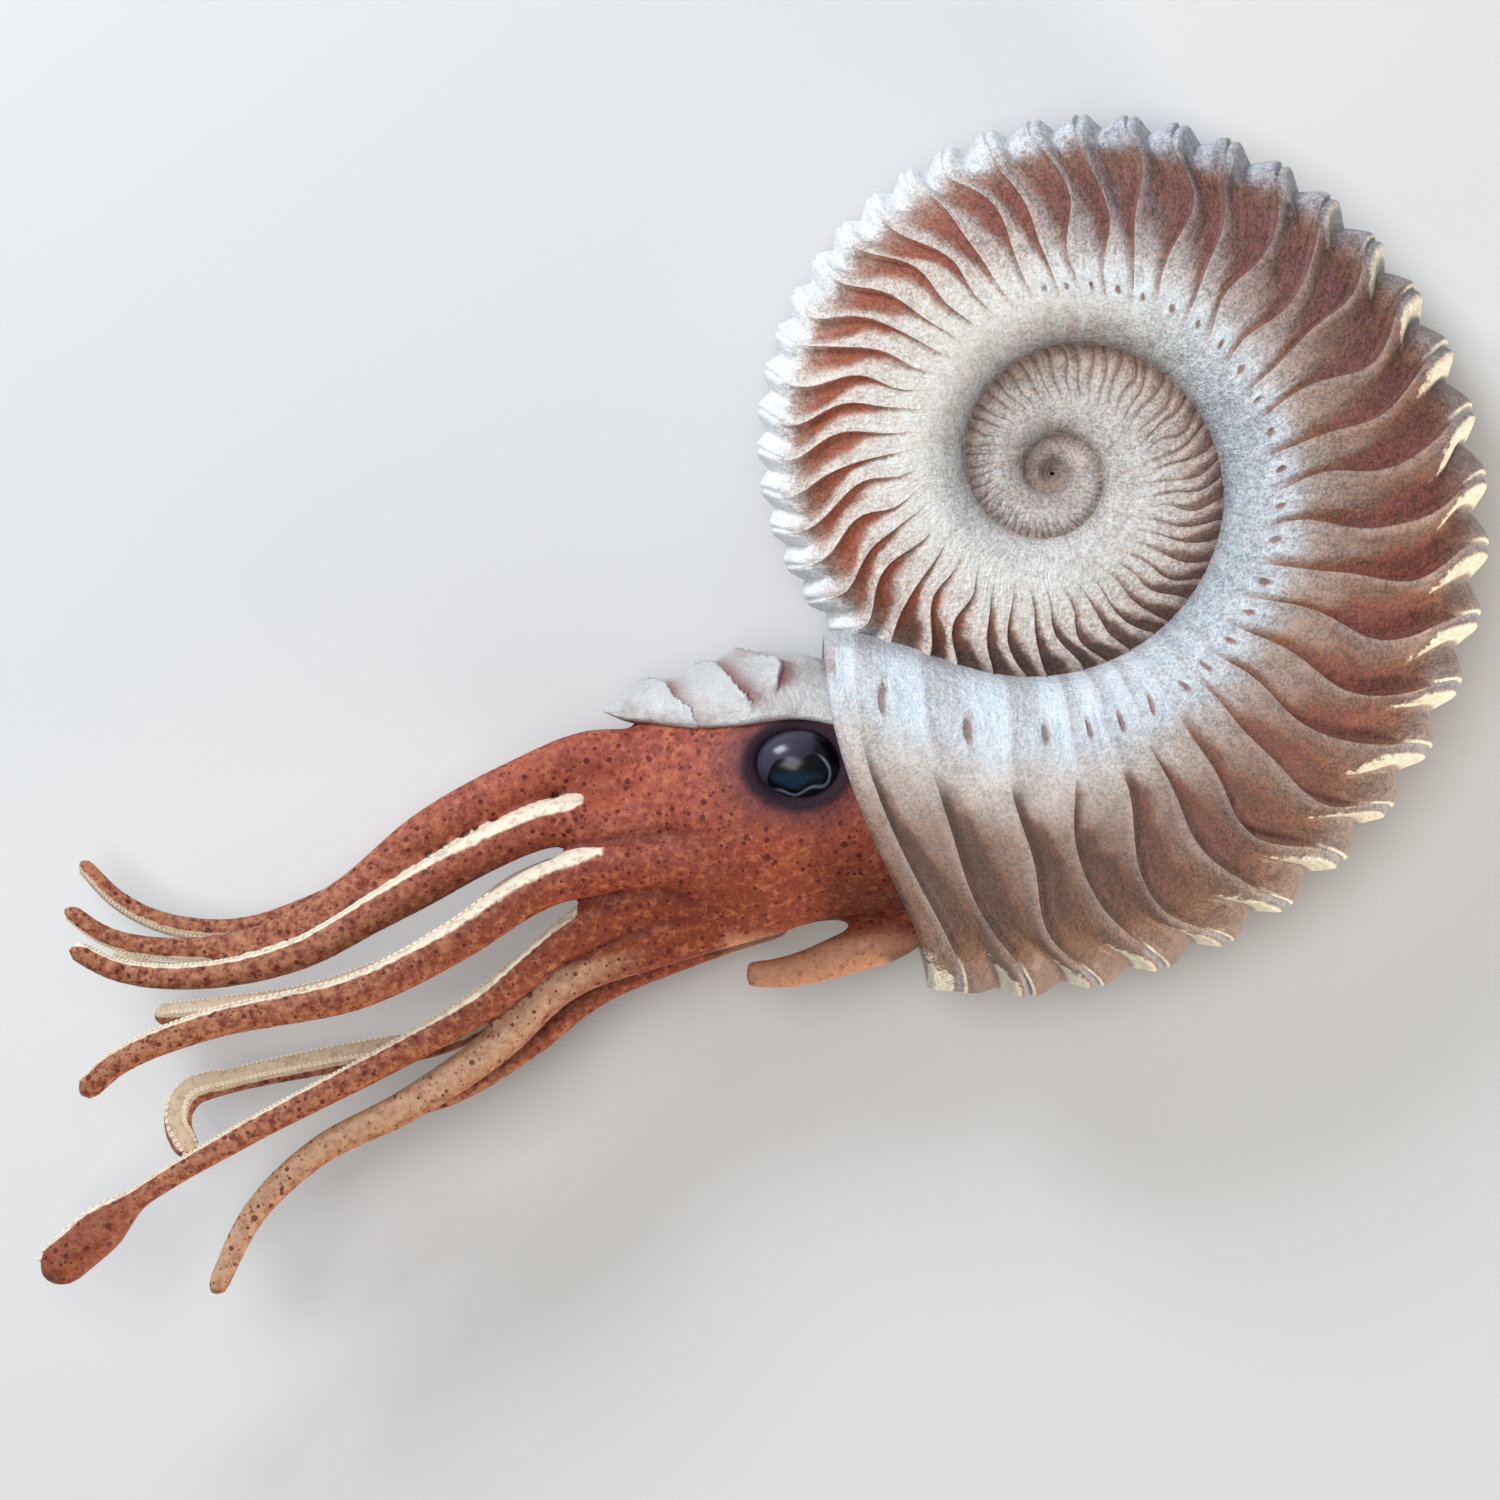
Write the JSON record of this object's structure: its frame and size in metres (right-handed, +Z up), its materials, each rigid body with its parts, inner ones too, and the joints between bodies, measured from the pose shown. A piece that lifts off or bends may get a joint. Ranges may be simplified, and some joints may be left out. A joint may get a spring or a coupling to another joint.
{
  "type": "ammonite life restoration model",
  "caption": "Model of a living ammonite: ribbed coiled shell with hood, spotted head, glossy eyes, funnel and long curving arms, lying on its side.",
  "frame": {"origin": "middle of the bounding box's base, on the surface that the model lies on", "axes": "+Z up; the left flank of the animal faces up, the arms reach towards -X and the coil lies towards +X and +Y"},
  "size_m": [0.2458, 0.201, 0.0439],
  "materials": {
    "shell": "cream and brown shell with reddish hollows between the ribs, satin with a light gloss",
    "hood": "porcelain white with pink-brown folds, satin",
    "skin": "red-brown to orange skin with dark spots, moist sheen",
    "arms": "orange-brown skin with dark spots, paler at the ends, moist sheen",
    "eye": "dark glossy eye with a black pupil"
  },
  "bodies": {
    "root": {"shell": "shell", "head": "skin", "hood": "hood", "eye_left": "eye", "eye_right": "eye", "funnel": "arms", "arm_1_left": "arms", "arm_1_right": "arms", "arm_2_left": "arms", "arm_2_right": "arms", "arm_3_left": "arms", "arm_3_right": "arms", "arm_4_left": "arms", "arm_4_right": "arms", "arm_5_left": "arms", "arm_5_right": "arms"}
  },
  "joints": []
}
